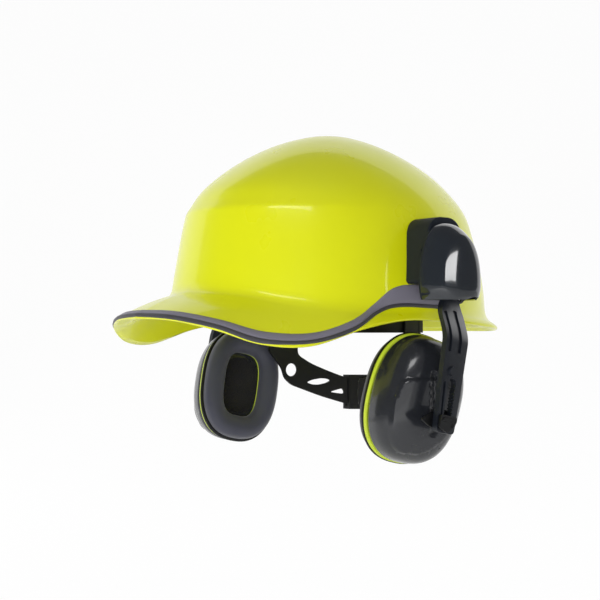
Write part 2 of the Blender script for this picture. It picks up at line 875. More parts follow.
class HelmetShell:
    """The moulded shell with its brim."""

    def __init__(self, shape: ShellShape, paint: Paintbox) -> None:
        """Keeps the sizes.

        Args:
            shape: Sizes of the shell.
            paint: Materials.
        """
        self.shape = shape
        self.paint = paint
        self.tree: Optional[BVHTree] = None

    def stations(self) -> list[tuple[list[float], int]]:
        """Rows of the brim all the way round.

        Returns:
            (row, sign of x) pairs, from the peak's middle by the wearer's left and back again.
        """
        n, last = self.shape.columns, len(self.shape.brim) - 1
        half = [(row_at(self.shape.brim, last * i / n), 1) for i in range(n + 1)]
        return half + [(row, -1) for row, _ in half[n - 1 : 0 : -1]]

    def column(self, row: Sequence[float]) -> Ring:
        """One upright strip of the shell, on the wearer's left.

        Args:
            row: The brim's row there.

        Returns:
            Its points down the wall, over the brim and back up inside.
        """
        shape = self.shape
        edge = Vector(row[:3])
        root_z = row[3]
        angle = math.atan2(edge.y, edge.x) if abs(edge.x) > 1e-6 else math.copysign(math.pi / 2, edge.y)
        root = shape.outer(angle, root_z)
        reach = (edge.xy - root.xy).length

        # The wall runs into the brim in a hollow curve from drop over the root to the brim's foot.
        drop = min(shape.hollow[0], 2.5 + 0.5 * reach)
        low = shape.levels[-1]
        top = shape.outer(angle, root_z + drop)
        foot = root.lerp(edge, min(shape.hollow[1], 0.45 * reach) / max(reach, 1e-6))
        points = [shape.outer(angle, z) for z in shape.levels]
        points += [shape.outer(angle, low + (root_z + drop - low) * q) for q in (0.35, 0.7)] + [top]
        points += [top.lerp(root, t).lerp(root.lerp(foot, t), t) for t in (0.25, 0.5, 0.75)]

        def over(t: float) -> Vector:
            """A point across the brim, which is slightly crowned.

            Args:
                t: 0 at its foot and 1 at its edge.

            Returns:
                The point on its upper face.
            """
            return foot.lerp(edge, t) + UP * (shape.crown * reach * t * (1 - t))

        points += [over(t) for t in (0.0, 0.2, 0.4, 0.6, 0.8, 0.93)]
        out = Vector((edge.x - root.x, edge.y - root.y, 0)).normalized()
        points += [edge + out * way - UP * fall for way, fall in shape.edge]
        points += [over(t) - UP * shape.sheet for t in (0.9, 0.6, 0.3, 0.0)]
        inner_foot = shape.outer(angle, root_z - 6, shape.wall)
        points += [inner_foot.lerp(foot, 0.3) - UP * 1.2, inner_foot]
        points += [shape.outer(angle, z, shape.wall) for z in shape.inner_levels]
        return points + [Vector((0.0001, 0.0001, shape.inner_top))]

    def build(self) -> bpy.types.Object:
        """Skins the shell from its crown, down over the brim and back up inside.

        Returns:
            The shell.
        """
        columns = [
            [Vector((sign * p.x, p.y, p.z)) for p in self.column(row)] for row, sign in self.stations()
        ]
        shell = loft("shell_body", [[column[k] for column in columns] for k in range(len(columns[0]))])
        self.tree = BVHTree.FromPolygons(
            [v.co.copy() for v in shell.data.vertices], [tuple(p.vertices) for p in shell.data.polygons]
        )
        self.paint.paint(shell, SHELL)
        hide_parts("shell")
        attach(shell, "helmet")
        return shell

    def hug(self, point: Vector, outward: Vector, stand: float) -> Vector:
        """Drops a point on the shell's outer face.

        Args:
            point: A point near the face, in millimetres.
            outward: Direction out of the shell.
            stand: Height above the face.

        Returns:
            The point on the face, raised by stand.
        """
        start = point * MM + outward * HUG_START
        hit, normal, _, _ = self.tree.ray_cast(start, -outward, HUG_REACH)
        if hit is None:
            hit, normal, _, _ = self.tree.find_nearest(point * MM)
        if normal.dot(outward) < 0:
            normal = -normal
        return hit / MM + (normal + outward).normalized() * stand


@dataclass(frozen=True)
class TrimShape:
    """Sizes of the soft trim in millimetres.

    Attributes:
        rows: Its path from the peak's middle to its end behind the ear pad: lower x, y, z, upper x, y, z,
            and the lean of its outward direction above level, in degrees.
        section: (share of the way up the band, height over the shell): a dark piping below, a line, then the
            soft band. The shares are those of a band 8 mm wide; on a wider one the piping keeps its width.
        back: The same for the band's back, which is sunk into the shell.
        piping_faces: How many of the section's faces are piping.
        piping_share: Share of the band up to which the piping goes.
        piping_wide: Width of the piping.
        steps: Divisions of half of the band.
    """

    rows: tuple = (
        (0, -187.0, -24, 0, -179.5, -20.8, 80),
        (38, -181.3, -25.5, 36, -173.5, -22, 78),
        (72, -165.3, -32.5, 68, -158, -28.6, 65),
        (95, -141.3, -42.5, 89, -135, -37.2, 50),
        (109, -107.5, -44, 103.5, -103.5, -37.5, 35),
        (114.5, -72, -35.5, 110, -72, -28, 22),
        (112.5, -45, -22, 109.6, -45, -13.5, 8),
        (111.6, -24, -17.5, 109.2, -24, -2, 3),
        (111.2, 6, -18, 109.3, 6, -0.6, 2),
        (110.2, 28, -19, 108.6, 28, -9, 2),
    )
    section: tuple = (
        (0.0, 0.1), (0.03, 0.9), (0.1, 1.35), (0.22, 1.4), (0.32, 1.1), (0.36, 0.45), (0.4, 0.95),
        (0.5, 1.3), (0.7, 1.4), (0.88, 1.25), (0.97, 0.8), (1.0, 0.1),
    )
    back: tuple = ((1.0, -1.0), (0.75, -1.0), (0.5, -1.0), (0.25, -1.0), (0.0, -1.0))
    piping_faces: int = 5
    piping_share: float = 0.36
    piping_wide: float = 2.9
    steps: int = 130


class SoftTrim:
    """The soft trim that follows the brim and climbs to a pad by each ear."""

    def __init__(self, shape: TrimShape, shell: HelmetShell, paint: Paintbox) -> None:
        """Keeps the sizes and the shell that the trim lies on.

        Args:
            shape: Sizes of the trim.
            shell: The finished shell.
            paint: Materials.
        """
        self.shape = shape
        self.shell = shell
        self.paint = paint

    def section_at(self, row: Sequence[float], sign: int) -> Ring:
        """The band's section at one place.

        Args:
            row: The row of its path there.
            sign: Sign of x on that side.

        Returns:
            Its points, draped over the shell.
        """
        s = self.shape
        low, high = Vector(row[:3]), Vector(row[3:6])
        lean = math.radians(row[6])
        out = Vector((row[0], row[1] * 0.6, 0)).normalized() * math.cos(lean) + UP * math.sin(lean)
        along = (high - low).normalized()
        out = (out - along * out.dot(along)).normalized()
        seam = s.piping_wide / (high - low).length
        points: Ring = []
        for share, stand in s.section + s.back:
            t = share / s.piping_share * seam
            if share > s.piping_share:
                t = 1 - (1 - share) / (1 - s.piping_share) * (1 - seam)
            target = self.shell.hug(low.lerp(high, t), out, stand)
            points.append(Vector((sign * target.x, target.y, target.z)))
        return points

    def build(self) -> None:
        """Builds the trim, one closed band with a slot for its piping."""
        s = self.shape
        last = len(s.rows) - 1
        half = [row_at(s.rows, last * i / s.steps) for i in range(s.steps + 1)]
        rings = [self.section_at(row, -1) for row in half[:0:-1]] + [self.section_at(row, 1) for row in half]
        trim = loft("trim_band", rings)
        for polygon in trim.data.polygons[:-2]:
            polygon.material_index = int(polygon.index % len(rings[0]) < s.piping_faces)
        self.paint.paint(trim, TRIM, TRIM_DARK)
        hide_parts("edge_trim")
        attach(trim, "helmet")


# ------------------------------------------------------------------ ear defender
@dataclass(frozen=True)
class HousingShape:
    """Sizes of the swivel housing's cover, in millimetres.

    Attributes:
        centre: Middle of its outline along y.
        half_wide: Half width.
        above: Height over the middle.
        below: Depth that its egg shape would have under the middle.
        foot: Height at which it is cut off.
        power: Squareness of its outline.
        wall: Wall thickness.
        dome: (share of the outline, distance out) from the crest to the seam.
        notch: Front, back and height of the notch in its foot.
        notch_x: Distance out from which the notch is cut.
        shares: Shares of the outline at which the mesh has its arches, closest at the shoulder and the seam.
        legs: (share of the foot's depth, share of the notch's height) of the mesh's rows under the middle.
        arch: Divisions of the upper outline.
    """

    centre: float = 4.0
    half_wide: float = 25.0
    above: float = 46.0
    below: float = 25.5
    foot: float = -12.5
    power: float = 2.2
    wall: float = 1.6
    dome: tuple = (
        (0.0, 153.7), (0.34, 153.35), (0.56, 152.3), (0.7, 150.6), (0.765, 149.2), (0.8, 147.6),
        (0.87, 143.8), (0.94, 139.0), (0.98, 134.4), (1.0, 130.2),
    )
    notch: Point = (7.5, 18.5, 2.0)
    notch_x: float = 147.0
    shares: tuple = (
        1.0, 0.995, 0.985, 0.97, 0.95, 0.93, 0.91, 0.885, 0.86, 0.835, 0.81, 0.795, 0.785, 0.775, 0.765,
        0.75, 0.73, 0.7, 0.66, 0.6, 0.52, 0.42, 0.28, 0.14, 0.0,
    )
    legs: tuple = ((1.0, 1.0), (0.96, 0.82), (0.84, 0.0), (0.83, 0.0), (0.6, 0.0), (0.4, 0.0), (0.2, 0.0))
    arch: int = 64


@dataclass(frozen=True)
class ArmShape:
    """Sizes of the arm in its own frame, in millimetres: x outward, z up along it.

    Attributes:
        origin: Swivel axis, the frame's origin.
        pitch: Lean of the arm, in degrees.
        hinge_x: Distance out of the hinge pin and of the arm's top.
        low_x: Distance out of the arm below its bend.
        hinge_z: Height of the hinge pin.
        bend_top: Height at which the bend starts.
        bend_low: Height at which the bend ends.
        thickness: Thickness.
        outline: Rear half of its outline from the neck down, as (y, z) pairs.
        half_wide: Distance from its middle at which the outer face has fallen off by the crown.
        crown: How far that is.
        front_groove: Corners of the long groove in front.
        rear_groove: Corners of the long groove behind.
        channel: Corners of the narrow channel by the slot.
        groove: Depth of the long grooves.
        channel_deep: Depth of the channel.
        boss: Place and radius of the round boss.
        boss_high: Height of the boss.
        pin: Radius of the hinge pin's hole.
        knuckle: Radius of the hinge knuckle.
        knuckle_wide: Width of the knuckle.
        slot_top: Top of the toothed slot.
        slot_low: Its lower end.
        slot_wide: Its width.
        pitch_mm: Distance between its teeth.
        tooth: Height of a tooth.
    """

    origin: Point = (0.0, 5.0, 18.0)
    pitch: float = -11.5
    hinge_x: float = 141.0
    low_x: float = 153.0
    hinge_z: float = -27.5
    bend_top: float = -31.0
    bend_low: float = -64.0
    thickness: float = 5.0
    outline: tuple = ((8.0, -29.5), (8.0, -33.0), (8.6, -34.2), (11.5, -42.0), (10.5, -88.0), (8.9, -130.0))
    half_wide: float = 11.5
    crown: float = 0.5
    front_groove: tuple = ((-9.3, -41.0), (-6.2, -41.0), (-5.6, -71.0), (-8.4, -71.0))
    rear_groove: tuple = ((0.2, -39.0), (4.2, -39.0), (4.4, -71.0), (1.0, -71.0))
    channel: tuple = ((-8.6, -93.0), (-6.2, -93.0), (-5.4, -117.0), (-7.2, -117.0))
    groove: float = 1.4
    channel_deep: float = 1.3
    boss: Point = (-2.0, -84.9, 3.7)
    boss_high: float = 1.8
    pin: float = 1.7
    knuckle: float = 4.4
    knuckle_wide: float = 9.0
    slot_top: float = -90.0
    slot_low: float = -127.5
    slot_wide: float = 8.0
    pitch_mm: float = 2.4
    tooth: float = 0.9

    @property
    def place(self) -> Matrix:
        """The arm's frame, as a matrix in millimetres."""
        return Matrix.Translation(Vector(self.origin)) @ Matrix.Rotation(math.radians(self.pitch), 4, "X")

    def middle(self, z: float) -> float:
        """Distance out of the arm's middle at a height.

        Args:
            z: Height in the arm's frame.

        Returns:
            The distance.
        """
        return self.hinge_x + (self.low_x - self.hinge_x) * smoothstep(
            (self.bend_top - z) / (self.bend_top - self.bend_low)
        )


class ArmFaces:
    """Where the two faces of the bent arm are."""

    def __init__(self, shape: ArmShape) -> None:
        """Keeps the arm."""
        self.shape = shape

    def outer(self, y: float, z: float, height: float) -> Vector:
        """A point on the outer face, which is slightly crowned across.

        Args:
            y: Across.
            z: Up.
            height: Height of the relief there.

        Returns:
            The point, in the row frame.
        """
        s = self.shape
        crown = -s.crown * (y / s.half_wide) ** 4
        return s.place @ Vector((s.middle(z) + s.thickness / 2 + height + crown, y, z))

    def inner(self, y: float, z: float) -> Vector:
        """A point on the inner face."""
        return self.shape.place @ Vector((self.shape.middle(z) - self.shape.thickness / 2, y, z))


@dataclass(frozen=True)
class SliderShape:
    """Sizes of the slider that carries the cup, in the arm's frame, in millimetres.

    Attributes:
        level: Height of its middle.
        plate_mm: Thickness of its two plates.
        gap: Distance between a plate and the arm.
        plate: Outline of the inner plate with its pointed finger wing, as (y, z) pairs from the middle.
        stem: Outline of the stem in the slot.
        clip: Outline of the outer plate.
        grip: Outline of the raised grip on it.
        grip_high: Height of the grip.
        ball: Radius of the ball.
        ball_x: Distance out of the ball.
        stalk: Radius of its stalk.
    """

    level: float = -120.5
    plate_mm: float = 2.0
    gap: float = 0.3
    plate: tuple = (
        (7, 7.5), (-6, 7.5), (-13.875, 1.6), (-19.5, -2.4), (-13.25, -5.4), (-6, -7.5), (7, -7.5)
    )
    stem: tuple = ((-3.7, 2.5), (2.8, 2.5), (2.8, -2.5), (-3.7, -2.5))
    clip: tuple = ((-8.6, 3.4), (7.8, 3.4), (8.2, -0.8), (0.6, -9.1), (-8.2, -7.1))
    grip: tuple = ((-6.4, 1.6), (6.0, 1.6), (4.6, -1.2), (-6.2, -1.2))
    grip_high: float = 0.7
    ball: float = 4.2
    ball_x: float = 133.4
    stalk: float = 1.8


@dataclass(frozen=True)
class CupShape:
    """Sizes of a cup in its own frame, in millimetres: x outward, z up, origin in the middle of the ring.

    Attributes:
        ball: Place of the ball in the cup.
        pitch: Lean of the cup, in degrees.
        roll: Tilt of its top towards the head, in degrees.
        yaw: Turn on its ball on each side, in degrees.
        half_high: Half height of the ring.
        half_wide: Half width of the ring.
        power: Squareness of the outline.
        ring: Thickness of the ring.
        back: Share of the outline that the face behind the ring has.
        dome: (height over the ring, share of the outline) of the outer shell.
        guides: Shares of the outline with level lines that only guide the mesh over the steep rim.
        socket: (height, radius) round the boss that holds the ball.
        band: (share of half the ring's thickness, share of the outline) round the ring's section.
        flange: Thickness of the inner flange.
        panel: Outline of the raised outer panel.
        panel_high: Height of the panel.
        groove: Outline of the groove that the arm lies over.
        groove_deep: Depth of the groove.
        flatness: How much flatter the panel is than the dome.
    """

    ball: Point = (30.4, 0.2, -12.1)
    pitch: float = -13.2
    roll: float = 6.0
    yaw: tuple[float, float] = (-13.0, 10.6)
    half_high: float = 49.4
    half_wide: float = 36.0
    power: float = 2.45
    ring: float = 3.4
    back: float = 0.94
    dome: tuple = (
        (0.0, 0.985), (5.0, 0.985), (13.0, 0.96), (20.0, 0.9), (25.0, 0.8), (28.0, 0.68), (30.0, 0.5),
        (30.6, 0.25), (30.7, 0.0),
    )
    guides: tuple = (0.983, 0.98, 0.975, 0.968, 0.958, 0.945, 0.925, 0.9, 0.87, 0.83, 0.77)
    socket: tuple = ((28.0, 9.0), (31.6, 8.6), (32.6, 7.8), (32.8, 6.4), (32.8, 3.3), (30.6, 3.3))
    band: tuple = (
        (-1.0, 0.925), (-1.0, 0.985), (-0.6, 0.998), (0.0, 1.003), (0.6, 0.998), (1.0, 0.987), (1.0, 0.925)
    )
    flange: float = 2.4
    panel: tuple = (
        (-26.5, 12.0), (3.0, 19.0), (20.0, 12.0), (22.0, -22.0), (4.8, -39.0), (-15.7, -42.0),
        (-26.3, -27.0), (-28.9, -5.0),
    )
    panel_high: float = 1.3
    groove: tuple = ((-8.0, 25.0), (0.5, 25.0), (12.5, -19.0), (10.0, -24.0), (5.0, -24.0))
    groove_deep: float = 1.8
    flatness: float = 0.5

    def place(self, side: Side, ball_at: Vector) -> Matrix:
        """Where the cup hangs.

        Args:
            side: The wearer's side.
            ball_at: Place of the ball in the row frame, on the wearer's left.

        Returns:
            The cup's frame in millimetres, on the wearer's left.
        """
        turn = Matrix.Identity(4)
        for angle, axis in ((self.pitch, "X"), (self.roll, "Y"), (self.yaw[side is Side.RIGHT], "Z")):
            turn = turn @ Matrix.Rotation(math.radians(angle), 4, axis)
        return Matrix.Translation(ball_at) @ turn @ Matrix.Translation(-Vector(self.ball))


class CupFaces:
    """Where the two faces of the cup's domed outer shell are."""

    def __init__(self, shape: CupShape, place: Matrix) -> None:
        """Keeps the cup.

        Args:
            shape: Sizes of the cup.
            place: The cup's frame.
        """
        self.shape = shape
        self.place = place
        self.heights = sorted((share, height) for height, share in shape.dome[1:])

    def outer(self, y: float, z: float, height: float) -> Vector:
        """A point on the dome.

        Args:
            y: Across.
            z: Up.
            height: Height of the relief there.

        Returns:
            The point, in the row frame.
        """
        s = self.shape
        share = (abs(y / s.half_wide) ** s.power + abs(z / s.half_high) ** s.power) ** (1 / s.power)
        dome = ramp(self.heights, share)
        if height:
            # The raised panel and the groove are flatter than the dome round them.
            dome += s.flatness * (self.heights[0][1] - dome)
        return self.place @ Vector((s.ring / 2 + dome + height, y, z))

    def inner(self, y: float, z: float) -> Vector:
        """A point on the flat face behind the ring."""
        return self.place @ Vector((-self.shape.ring / 2, y * self.shape.back, z * self.shape.back))


@dataclass(frozen=True)
class CushionShape:
    """Sizes of the soft ring round the ear and of the foam, in the cup's frame, in millimetres.

    Attributes:
        depth: Depth of the cushion.
        outline: Share of the cup ring's outline that it has.
        opening_high: Half height of the ear opening.
        opening_wide: Half width of the ear opening.
        opening_power: Squareness of the ear opening.
        section: (share of the way in, share of the depth) up the side wall, over the crown and into the
            opening.
        pucker: Height of the puckers where the skin rolls over into the opening.
        puckers: Number of their half waves round it.
        count: Points round the cushion.
        lip: Radius of the coloured lip in the opening.
        lip_at: Distance of its middle outside the opening, and over the cushion's base.
        foam: (share of the cup ring's outline, depth under its edge) over the foam's face.
        foam_edge: Height of that edge over the middle of the cup's ring.
        foam_back: Height of the foam's back over it.
    """

    depth: float = 12.6
    outline: float = 0.975
    opening_high: float = 28.0
    opening_wide: float = 17.0
    opening_power: float = 3.2
    section: tuple = (
        (0.0, -0.01), (0.0, 0.14), (0.01, 0.34), (0.045, 0.56), (0.11, 0.72), (0.21, 0.84), (0.34, 0.9),
        (0.45, 0.91), (0.57, 0.89), (0.69, 0.84), (0.8, 0.74), (0.9, 0.63), (0.97, 0.45), (1.0, 0.27),
        (1.0, 0.05), (0.98, -0.01),
    )
    pucker: float = 0.12
    puckers: int = 46
    count: int = 128
    lip: float = 0.8
    lip_at: Flat = (1.3, 1.4)
    foam: tuple = ((0.84, 0.0), (0.8, 0.35), (0.68, 0.8), (0.5, 1.1), (0.3, 1.25), (0.12, 1.3), (0.02, 1.3))
    foam_edge: float = -0.6
    foam_back: float = 11.0


class EarDefender:
    """One ear defender: housing, arm, slider and cup with its cushion."""

    def __init__(self, side: Side, paint: Paintbox) -> None:
        """Keeps the side and works out the frames.

        Args:
            side: The wearer's side.
            paint: Materials.
        """
        self.side = side
        self.paint = paint
        self.housing = HousingShape()
        self.arm = ArmShape()
        self.slider = SliderShape()
        self.cup = CupShape()
        self.cushion = CushionShape()
        ball_at = self.arm.place @ Vector((self.slider.ball_x, 0, self.slider.level))
        self.cup_frame = self.cup.place(side, ball_at)

    def finish(self, obj: bpy.types.Object, body: str, node: str, *finishes: Finish) -> bpy.types.Object:
        """Mirrors, paints and hangs a piece on its body.

        Args:
            obj: The piece, built on the wearer's left.
            body: Body name without its side.
            node: CAD node that it stands for, without its side.
            finishes: Finishes in slot order.

        Returns:
            The piece.
        """
        obj.name = f"{obj.name}_{self.side.suffix}"
        mirrored(obj, self.side)
        self.paint.paint(obj, *finishes)
        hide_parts(f"{node}_{self.side.suffix}")
        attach(obj, body if body == "helmet" else f"{body}_{self.side.suffix}")
        return obj

    def leg_row(self, depth: float, rise: float, way: int) -> Ring:
        """One row of the cover's mesh under its middle.

        Args:
            depth: Share of the foot's depth.
            rise: Share of the notch's height.
            way: -1 for its front half and 1 for its rear half.

        Returns:
            The row, from the seam to the crest line.
        """
        s = self.housing
        z = s.foot * depth
        low = (-z / s.below) ** s.power
        row: Ring = []
        for k in s.shares:
            share = -z / s.below + (1 + z / s.below) * k
            y = way * s.half_wide * max(share**s.power - low, 0.0) ** (1 / s.power)
            x = ramp(s.dome, share)
            cut = x > s.notch_x and s.notch[0] < y < s.notch[1]
            row.append(Vector((x, s.centre + y, z + (s.notch[2] * rise if cut else 0.0))))
        return row

    def build_housing(self) -> None:
        """Builds the glossy cover as arches that run inward from the seam to its crest."""
        s = self.housing
        columns = [self.leg_row(depth, rise, -1) for depth, rise in s.legs]
        for j in range(s.arch + 1):
            turn = math.pi - math.pi * j / s.arch
            c, si = math.cos(turn), math.sin(turn)
            reach = (abs(c / s.half_wide) ** s.power + abs(si / s.above) ** s.power) ** (-1 / s.power)
            columns.append(
                [Vector((ramp(s.dome, k), s.centre + k * reach * c, k * reach * si)) for k in s.shares]
            )
        columns += [self.leg_row(depth, rise, 1) for depth, rise in reversed(s.legs)]
        count = len(s.shares)
        verts = [v for column in columns for v in column]
        faces = [
            (c * count + k, (c + 1) * count + k, (c + 1) * count + k + 1, c * count + k + 1)
            for c in range(len(columns) - 1)
            for k in range(count - 1)
        ]
        cover = make_object("cover", verts, faces)
        crest = max(cover.data.polygons, key=lambda p: p.center.x)
        if crest.normal.x < 0:
            cover.data.flip_normals()
        self.finish(cover, "helmet", "housing_cover", GLOSS)
        skin = cover.modifiers.new("wall", "SOLIDIFY")
        skin.thickness = s.wall * MM
        skin.offset = -1.0
        bevel(cover, 0.35, 2, 50)

    def build_arm(self) -> None:
        """Builds the bent arm with its slot, teeth, grooves and boss, and its hinge knuckle."""
        s = self.arm
        outline = rounded([*s.outline, *[(-y, z) for y, z in reversed(s.outline)]], 3.5)
        half = s.slot_wide / 2
        low, high = s.slot_low + half, s.slot_top - half

        def slot_end(centre: float, start: float) -> list[Flat]:
            """The round end of the slot.

            Args:
                centre: Height of its middle.
                start: Angle at which it starts.

            Returns:
                Its points between its two ends.
            """
            turns = [start - math.pi * k / 10 for k in range(1, 10)]
            return [(half * math.cos(a), centre + half * math.sin(a)) for a in turns]

        hole: list[Flat] = [(half, high)]
        z = high - s.pitch_mm
        while z > low + s.pitch_mm:
            # One tooth, then one gap, down the rear side of the slot.
            hole += [(half, z), (half - s.tooth, z - 0.3), (half - s.tooth, z - 1.0), (half, z - 1.3)]
            z -= s.pitch_mm
        hole += [(half, low), *slot_end(low, 0.0), (-half, low), (-half, high), *slot_end(high, math.pi)]
        reliefs = [
            Relief(tuple(rounded(s.front_groove, 1.2)), -s.groove, 0.3),
            Relief(tuple(rounded(s.rear_groove, 1.4)), -s.groove, 0.3),
            Relief(tuple(rounded(s.channel, 0.9)), -s.channel_deep, 0.3),
            Relief(tuple(circle(s.boss[:2], s.boss[2])), s.boss_high, 0.5),
        ]
        arm = plate("arm_bar", outline, [hole], reliefs, 3.0, ArmFaces(s))
        self.finish(arm, "arm", "arm", GRAPHITE)
        bevel(arm, 0.3)
        hinge = Matrix.Translation(Vector((s.hinge_x, 0, s.hinge_z)))
        across = Matrix.Rotation(math.pi / 2, 4, "Z")
        w = s.knuckle_wide / 2
        profile = [(-w, s.pin), (-w, s.knuckle), (w, s.knuckle), (w, s.pin)]
        knuckle = turned("arm_knuckle", s.place @ hinge @ across, profile)
        self.finish(knuckle, "arm", "arm", GRAPHITE)
        bevel(knuckle, 0.4)

    def build_slider(self) -> None:
        """Builds the slider's inner plate with its wing, stem, stalk and ball, and the clip outside."""
        s = self.slider
        inner_x = self.arm.low_x - self.arm.thickness / 2 - s.gap
        outer_x = self.arm.low_x + self.arm.thickness / 2 + s.gap
        place = self.arm.place @ Matrix.Translation(Vector((0, 0, s.level)))
        carrier = plate(
            "slider_plate", rounded(s.plate, 2.0), [], [], 3.0, PlateFaces(place, inner_x, s.plate_mm)
        )
        self.finish(carrier, "slider", "slider", BLACK)
        bevel(carrier, 0.35)
        turns = (0.05, 0.3, 0.6, 0.9, 1.2, 1.57, 1.9, 2.2, 2.45)
        profile = [(s.ball_x - s.ball * math.cos(a), s.ball * math.sin(a)) for a in turns]
        profile += [(s.ball_x + s.ball * 0.92, s.stalk), (inner_x - s.plate_mm + 0.2, s.stalk)]
        self.finish(turned("slider_ball", place, profile, 32), "slider", "slider", BLACK)
        block = plate("slider_stem", s.stem, [], [], 3.0, PlateFaces(place, outer_x, outer_x - inner_x))
        self.finish(block, "slider", "slider", BLACK)
        clip = plate(
            "clip_plate",
            rounded(s.clip, 2.4),
            [],
            [Relief(tuple(rounded(s.grip, 1.2)), s.grip_high)],
            2.5,
            PlateFaces(place, outer_x + s.plate_mm, s.plate_mm),
        )
        self.finish(clip, "slider", "slider_clip", BLACK)
        bevel(clip, 0.4)

    def ring_at(self, height: float, share: float, count: int = 96) -> Ring:
        """An oval across the cup.

        Args:
            height: Height over the middle of the ring, outward.
            share: Share of the ring's outline.
            count: Number of points.

        Returns:
            The oval's points, in the row frame.
        """
        c = self.cup
        flat = superellipse(c.half_wide * share, c.half_high * share, c.power, count)
        return [self.cup_frame @ Vector((height, y, z)) for y, z in flat]

    def build_cup(self) -> None:
        """Builds the cup's outer shell with its panel and groove, its ring and its inner flange."""
        c = self.cup
        half = c.ring / 2
        outline = superellipse(c.half_wide * c.dome[0][1], c.half_high * c.dome[0][1], c.power, 150)
        reliefs = [
            Relief(tuple(rounded(c.panel, 7.0, 8)), c.panel_high, 0.7),
            Relief(tuple(rounded(c.groove, 2.5, 5)), -c.groove_deep, 2.4),
        ]
        for share in c.guides:
            line = superellipse(c.half_wide * share, c.half_high * share, c.power, 120)
            reliefs.append(Relief(tuple(line), 0.0, 0.0))
        cup = plate("cup_shell", outline, [], reliefs, 1.7, CupFaces(c, self.cup_frame))
        self.finish(cup, "cup", "cup", CUP)
        boss_place = self.cup_frame @ Matrix.Translation(Vector((0, c.ball[1], c.ball[2])))
        self.finish(turned("cup_socket", boss_place, c.socket), "cup", "cup", BLACK)
        ring_body = loft("ring_body", [self.ring_at(half * h, share) for h, share in c.band], loop=True)
        self.finish(ring_body, "cup", "ring", RING)
        low = -half - c.flange
        edge = [(low, 0.8), (low, 1.0), (low + 0.4, 1.012)]
        edge += [(-half - 0.4, 1.016), (-half, 1.005), (-half, 0.8)]
        flange = loft("flange", [self.ring_at(h, share) for h, share in edge], loop=True)
        self.finish(flange, "cup", "cushion_plate", BLACK)

    def build_cushion(self) -> None:
        """Builds the soft ring round the ear, its coloured inner lip and the foam behind the opening."""
        c, s = self.cup, self.cushion
        base = -c.ring / 2 - c.flange
        outer = superellipse(c.half_wide * s.outline, c.half_high * s.outline, c.power, s.count)
        inner = superellipse(s.opening_wide, s.opening_high, s.opening_power, s.count)
        rings: list[Ring] = []
        for across, depth in s.section:
            ring: Ring = []
            for k, ((oy, oz), (iy, iz)) in enumerate(zip(outer, inner)):
                wave = s.pucker * math.sin(s.puckers * math.pi * k / s.count)
                x = base - s.depth * depth + wave * smoothstep((across - 0.5) * 2) * depth
                ring.append(self.cup_frame @ Vector((x, oy + (iy - oy) * across, oz + (iz - oz) * across)))
            rings.append(ring)
        cushion = loft("cushion_body", rings, loop=True)
        subdivide(cushion)
        self.finish(cushion, "cup", "cushion", CUSHION)
        lip: list[Ring] = []
        for turn in range(8):
            a = 2 * math.pi * turn / 8
            reach = s.lip_at[0] + s.lip * math.cos(a)
            x = base + s.lip_at[1] + s.lip * math.sin(a)
            flat = superellipse(s.opening_wide + reach, s.opening_high + reach, s.opening_power, 96)
            lip.append([self.cup_frame @ Vector((x, y, z)) for y, z in flat])
        self.finish(loft("inner_lip", lip, loop=True), "cup", "ring", RING)
        face = [self.ring_at(s.foam_edge - depth, share) for share, depth in s.foam]
        foam = loft("foam_body", [self.ring_at(s.foam_back, 0.8), *face])
        self.finish(foam, "cup", "foam", FOAM)

    def build(self) -> None:
        """Builds the whole ear defender."""
        self.build_housing()
        self.build_arm()
        self.build_slider()
        self.build_cup()
        self.build_cushion()


# ------------------------------------------------------------------ head harness
@dataclass(frozen=True)
class HarnessShape:
    """Sizes of the head harness in millimetres.

    Attributes:
        half_long: Half length of the headband's outer oval.
        half_wide: Half width of it.
        centre: Its middle along y.
        strap_gap: Distance from the headband to the nape strap.
        strap: Thickness of the nape strap.
        strap_upper: Upper edge of the nape strap in side view, front to back.
        strap_lower: Its lower edge, back to front.
        hole: Middle of its round hole.
        hole_radius: Radius of that hole.
        slot: Its curved slot.
        notch: The cut near its rear end.
        rim: Width of its raised rim.
        sunk: Depth of its face inside that rim.
        band: Thickness of the headband.
        pad: Thickness of the pads.
    """

    half_long: float = 99.0
    half_wide: float = 80.0
    centre: float = 6.0
    strap_gap: float = 0.4
    strap: float = 2.0
    strap_upper: tuple = ((8, -14), (26, -14), (26, -57), (39, -65), (57, -73), (69, -78), (92, -78))
    strap_lower: tuple = (
        (92, -104), (76, -104), (48, -94.5), (29.5, -87.5), (19.5, -84), (12, -77.5), (9.5, -69), (-6, -52),
        (2, -44), (8, -38),
    )
    hole: Flat = (19.5, -70.5)
    hole_radius: float = 5.8
    slot: tuple = (
        (34.5, -82.0), (40.0, -84.0), (46.5, -84.3), (53.0, -82.8), (57.0, -80.5), (53.5, -79.0),
        (48, -78.5), (40, -79.8),
    )
    notch: tuple = ((55.5, -91.0), (66.5, -87.5), (68.0, -93.0))
    rim: float = 1.6
    sunk: float = 0.35
    band: float = 2.2
    pad: float = 4.0


@dataclass(frozen=True)
class Pad:
    """A soft pad inside the headband.

    Attributes:
        name: Object name.
        node: CAD node that it stands for.
        body: Body that it rides on.
        middle: Angle of its middle round the head, in degrees.
        half_turn: Angle from its middle to each end, in degrees.
        low: Height of its lower edge.
        high: Height of its upper edge.
        end: Share of its thickness that is left at its ends.
        end_high: Share of its height that is left there, beyond what follows its thickness.
        channel: Share of its thickness that the channel stitched along its middle takes.
        channel_wide: Width of that channel, as a share of half of the pad's height.
        steps: Divisions of its length.
        points: Points round its section.
    """

    name: str
    node: str
    body: str
    middle: float
    half_turn: float
    low: float
    high: float
    end: float = 0.35
    end_high: float = 0.86
    channel: float = 0.28
    channel_wide: float = 0.12
    steps: int = 48
    points: int = 20


